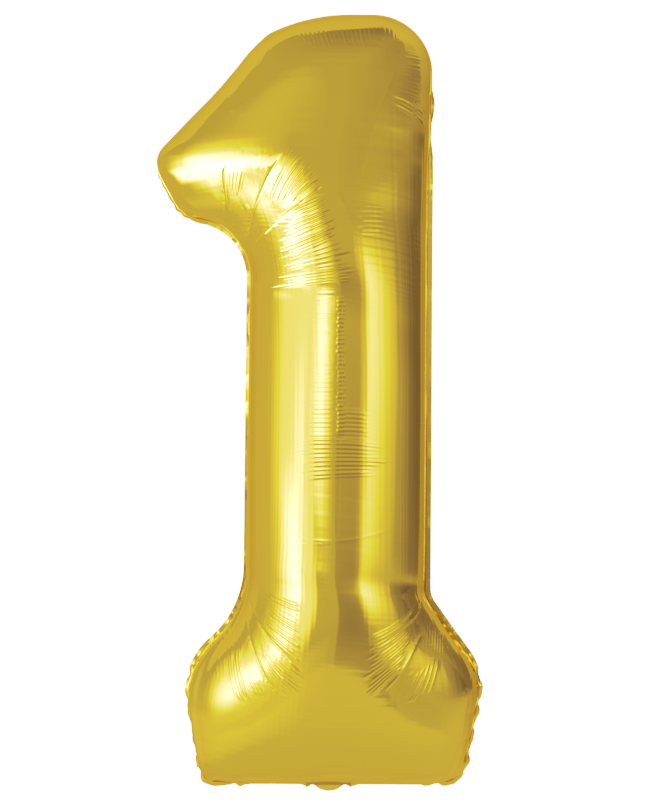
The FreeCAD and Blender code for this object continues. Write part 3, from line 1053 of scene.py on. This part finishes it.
def make_world(scene):
    """Studio walls: level ahead, darker at the sides, a bright backdrop behind the balloon.

    The camera itself sees plain white.
    """
    world = bpy.data.worlds.new("studio")
    world.use_nodes = True
    tree = world.node_tree
    tree.nodes.clear()
    where = add(tree, "ShaderNodeTexCoord")
    split = add(tree, "ShaderNodeSeparateXYZ", _0=where.outputs["Generated"])
    x, y, z = split.outputs
    from_camera = sum_up(tree, "ARCCOSINE", sum_up(tree, "MULTIPLY", y, -1.0), 0.0)
    behind = sum_up(tree, "DIVIDE", from_camera, math.pi)
    round_axis = sum_up(tree, "DIVIDE", sum_up(tree, "ARCTAN2", z, x), 2 * math.pi)
    turn = sum_up(tree, "ADD", round_axis, 0.5)
    height = sum_up(tree, "ADD", sum_up(tree, "MULTIPLY", z, 0.5), 0.5)
    side_part = rise(tree, behind, SIDES_FROM, SIDES_TO)
    past = sum_up(tree, "SUBTRACT", behind, ramp(tree, BACKDROP_EDGE, turn))
    back_part = rise(tree, past, -EDGE_BLUR, EDGE_BLUR)
    walls = blend_levels(tree, side_part, ramp(tree, AHEAD, height, WALL_TOP),
                         ramp(tree, SIDES, turn, WALL_TOP))
    walls = blend_levels(tree, back_part, walls, ramp(tree, BACKDROP, turn, WALL_TOP))
    light = add(tree, "ShaderNodeBackground", {"Strength": WALL_TOP}, _0=walls)
    white = add(tree, "ShaderNodeBackground", {"Color": (1, 1, 1, 1), "Strength": PLAIN_WHITE})
    seen = add(tree, "ShaderNodeLightPath")
    mix = add(tree, "ShaderNodeMixShader", _0=seen.outputs["Is Camera Ray"], _1=light.outputs[0],
              _2=white.outputs[0])
    add(tree, "ShaderNodeOutputWorld", Surface=mix.outputs[0])
    scene.world = world


# Soft light boxes and dark screens.  Each is an upright card: name, its two ends as (angle
# from the camera's side in degrees, distance in m), the height of its foot and top in m, its
# brightness (for a screen, the part of the light that it takes away), how that varies from
# the first end to the second, and how it varies from foot to top.  Each edge is at nothing.
LIGHT_BOXES = [
    ("wide_softbox", (-28, 0.95), (-98, 1.05), -0.10, 0.86, 2.7,
     [(0.07, 0.8), (0.14, 1.0), (0.3, 1.0), (0.62, 0.85), (0.75, 0.35), (0.87, 0.1)],
     [(0.15, 0.3), (0.28, 0.8), (0.38, 1.0), (0.72, 1.0), (0.85, 0.6)]),
    ("main_softbox", (-46, 0.93), (-82, 0.95), 0.00, 0.40, 8.0,
     [(0.15, 0.7), (0.3, 1.0), (0.45, 0.85), (0.62, 0.35), (0.85, 0.12)],
     [(0.15, 0.1), (0.3, 0.45), (0.45, 1.0), (0.75, 1.0), (0.9, 0.35)]),
    ("near_softbox", (-46, 0.56), (-76, 0.56), 0.12, 0.37, 5.0,
     [(0.2, 0.8), (0.35, 1.0), (0.5, 0.6), (0.7, 0.2)],
     [(0.25, 0.8), (0.5, 1.0), (0.72, 0.9), (0.88, 0.3)]),
    ("narrow_softbox", (-40, 0.95), (-58, 0.95), 0.32, 0.50, 4.5,
     [(0.2, 0.7), (0.4, 1.0), (0.65, 0.8)],
     [(0.2, 0.8), (0.45, 1.0), (0.7, 0.8)]),
    ("close_softbox", (-46, 0.34), (-100, 0.34), 0.58, 0.72, 17.0,
     [(0.08, 0.8), (0.3, 1.0), (0.65, 1.0), (0.78, 0.9), (0.9, 0.2)],
     [(0.1, 0.25), (0.2, 1.0), (0.42, 1.0), (0.55, 0.5), (0.68, 0.1)]),
    ("high_softbox", (-26, 0.56), (-92, 0.56), 0.56, 0.85, 22.0,
     [(0.05, 0.08), (0.14, 0.15), (0.22, 0.6), (0.34, 1.0), (0.6, 0.9), (0.8, 0.2)],
     [(0.05, 0.25), (0.1, 0.9), (0.19, 1.0), (0.31, 1.0), (0.41, 0.8), (0.5, 0.3), (0.62, 0.07)]),
    ("soft_glow", (-20, 1.4), (-90, 1.4), 0.80, 1.60, 0.6,
     [(0.25, 0.7), (0.5, 1.0), (0.8, 0.7)],
     [(0.15, 1.0), (0.35, 0.7), (0.6, 0.25)]),
    ("high_fill", (0, 1.4), (-60, 1.4), 1.05, 2.00, 0.2,
     [(0.3, 0.8), (0.5, 1.0), (0.7, 0.8)],
     [(0.3, 0.8), (0.5, 1.0), (0.7, 0.7)]),
    ("low_fill", (-8, 1.4), (-120, 1.4), -0.75, 0.05, 0.6,
     [(0.17, 0.3), (0.26, 0.7), (0.4, 1.0), (0.65, 0.8), (1.0, 0.2)],
     [(0.25, 0.3), (0.6, 0.9), (0.85, 1.0)]),
    ("strip_softbox", (-6, 1.35), (-36, 1.35), 0.28, 0.86, 12.0,
     [(0.14, 0.1), (0.28, 0.3), (0.45, 0.75), (0.6, 1.0), (0.7, 0.75), (0.8, 0.3)],
     [(0.17, 0.0), (0.23, 0.4), (0.29, 1.0), (0.36, 1.0), (0.47, 0.5), (0.6, 0.4),
      (0.76, 0.35), (0.88, 0.15)]),
    ("side_softbox", (26, 1.25), (80, 1.25), 0.16, 0.76, 4.2,
     [(0.15, 0.12), (0.22, 0.9), (0.3, 1.0), (0.47, 0.62), (0.69, 0.26)],
     [(0.18, 0.25), (0.33, 0.55), (0.48, 1.0), (0.65, 1.0), (0.77, 0.6), (0.87, 0.25)]),
    ("back_softbox", (150, 1.2), (168, 1.2), -0.15, 0.85, 4.5,
     [(0.3, 0.9), (0.6, 1.0)],
     [(0.15, 0.8), (0.6, 1.0)]),
    ("back_strip_softbox", (-162, 1.2), (-152, 1.2), 0.0, 0.75, 3.5,
     [(0.4, 1.0), (0.7, 0.8)],
     [(0.2, 0.8), (0.7, 1.0)]),
]
SCREENS = [
    ("front_screen", (-2, 1.4), (34, 1.4), -0.42, 0.47, 0.5,
     [(0.03, 1.0), (0.9, 1.0)],
     [(0.05, 0.5), (0.3, 0.7), (0.5, 1.0), (0.8, 1.0), (0.92, 0.5)]),
    ("side_screen", (78, 1.2), (131, 1.2), 0.12, 0.76, 0.70,
     [(0.2, 0.2), (0.4, 0.65), (0.6, 1.0), (0.99, 1.0)],
     [(0.1, 1.0), (0.9, 1.0)]),
    ("high_screen", (14, 1.3), (112, 1.3), 0.76, 2.0, 0.24,
     [(0.3, 0.7), (0.5, 1.0), (0.85, 1.0)],
     [(0.12, 0.9), (0.3, 1.0), (0.7, 0.9)]),
]


def faded(stops):
    """A card's levels with nothing at its two edges, where they don't say otherwise."""
    last = [] if stops[-1][0] == 1.0 else [(1.0, 0.0)]
    return [(0.0, 0.0)] + stops + last


def card(name, first, last, foot, top, material):
    """Upright card between two directions as seen from the balloon, unseen by the camera."""
    ends = [(distance * math.sin(math.radians(angle)), -distance * math.cos(math.radians(angle)))
            for angle, distance in (first, last)]
    points = [(*ends[0], foot), (*ends[1], foot), (*ends[1], top), (*ends[0], top)]
    mesh = bpy.data.meshes.new(name)
    mesh.from_pydata(points, [], [(0, 1, 2, 3)])
    layer = mesh.uv_layers.new(name="card")
    layer.data.foreach_set("uv", [0.0, 0.0, 1.0, 0.0, 1.0, 1.0, 0.0, 1.0])
    mesh.materials.append(material)
    obj = placed(name, mesh)
    obj.visible_camera = False
    obj.visible_shadow = False
    obj.visible_diffuse = False


def card_material(name, strength, across, up, dark):
    """Diffusing cloth lit from behind, or a dark gauze: see-through with light added or taken."""
    material, tree = new_material(name)
    place = add(tree, "ShaderNodeTexCoord")
    split = add(tree, "ShaderNodeSeparateXYZ", _0=place.outputs["UV"])
    level = sum_up(tree, "MULTIPLY",
                   ramp(tree, faded(across), split.outputs["X"], blend="B_SPLINE"),
                   ramp(tree, faded(up), split.outputs["Y"], blend="B_SPLINE"))
    if dark:
        left_over = sum_up(tree, "SUBTRACT", 1.0, sum_up(tree, "MULTIPLY", level, strength))
        shader = add(tree, "ShaderNodeBsdfTransparent", _0=left_over)
    else:
        clear = add(tree, "ShaderNodeBsdfTransparent")
        glow = add(tree, "ShaderNodeEmission", _1=sum_up(tree, "MULTIPLY", level, strength))
        shader = add(tree, "ShaderNodeAddShader", _0=clear.outputs[0], _1=glow.outputs[0])
    add(tree, "ShaderNodeOutputMaterial", Surface=shader.outputs[0])
    return material


def make_lights():
    """The light boxes and dark screens that the film mirrors, and a lamp for the floor alone."""
    for name, *place, strength, across, up in LIGHT_BOXES:
        card(name, *place, card_material("lit_cloth_of_" + name, strength, across, up, False))
    for name, *place, share, across, up in SCREENS:
        card(name, *place, card_material("dark_gauze_of_" + name, share, across, up, True))
    lamp = placed("floor_lamp", bpy.data.lights.new("floor_lamp", "AREA"))
    lamp.data.shape = "DISK"
    lamp.data.size = FLOOR_LAMP_SIZE
    lamp.data.energy = FLOOR_LAMP_WATTS
    lamp.location = (0, 0, FLOOR_LAMP_HEIGHT)
    lamp.visible_glossy = False


# How brightness is shown: brightness from 0 to 8 against the part of full white.  Green and
# blue stay low for longer than red, so that gold keeps its yellow up to the light boxes' edges.
TONE_TOP = 8.0
RED_TONE = [(0.19, 0.188), (0.32, 0.305), (0.59, 0.485), (0.95, 0.658), (1.76, 0.776),
            (3.15, 0.885), (5.0, 0.9995)]
GREEN_TONE = [(0.228, 0.188), (0.384, 0.305), (0.52, 0.418), (0.62, 0.463), (0.81, 0.535),
              (1.14, 0.658), (2.11, 0.776), (3.78, 0.900), (5.0, 0.9995)]
BLUE_TONE = [(0.0625, 0.0395), (0.25, 0.0405), (0.34, 0.09), (0.5, 0.20), (1.24, 0.56), (2.0, 0.78),
             (3.6, 0.93), (5.0, 0.9995)]


def set_tone(scene):
    """Soft shoulder: a light box in the gold stays yellow at its edge and whitens inside."""
    scene.view_settings.view_transform = "Standard"
    scene.view_settings.use_curve_mapping = True
    mapping = scene.view_settings.curve_mapping
    mapping.white_level = (TONE_TOP, TONE_TOP, TONE_TOP)
    for curve, stops in zip(mapping.curves, (RED_TONE, GREEN_TONE, BLUE_TONE)):
        for brightness, shown in stops:
            curve.points.new(brightness / TONE_TOP, shown)
        for point in curve.points:
            point.handle_type = "AUTO_CLAMPED"
    mapping.update()


class BALLOON_PT_panel(bpy.types.Panel):
    """Lists the balloon's makers and settings"""
    bl_idname = "BALLOON_PT_panel"
    bl_label = "Foil number balloon"
    bl_space_type = "VIEW_3D"
    bl_region_type = "UI"
    bl_category = "Balloon"

    def draw(self, context):
        for group in ("balloon_film", "balloon_studio"):
            settings = getattr(context.scene, group)
            for name in settings.__annotations__:
                self.layout.prop(settings, name)
        for maker in MAKERS:
            self.layout.operator(maker.bl_idname)


MAKERS = (BALLOON_OT_film_panels, BALLOON_OT_valve, BALLOON_OT_studio)
CLASSES = (BalloonFilm, BalloonStudio) + MAKERS + (BALLOON_PT_panel,)


def register():
    """Makes the classes known and hangs the settings on the scene."""
    for cls in CLASSES:
        bpy.utils.register_class(cls)
    bpy.types.Scene.balloon_film = PointerProperty(type=BalloonFilm)
    bpy.types.Scene.balloon_studio = PointerProperty(type=BalloonStudio)


def unregister():
    """Takes back what register did, the other way round."""
    del bpy.types.Scene.balloon_studio
    del bpy.types.Scene.balloon_film
    for cls in reversed(CLASSES):
        bpy.utils.unregister_class(cls)


def main():
    """Makes every piece and the studio."""
    register()
    bpy.ops.balloon.film_panels()
    bpy.ops.balloon.valve()
    bpy.ops.balloon.studio()


if __name__ == "__main__":
    main()
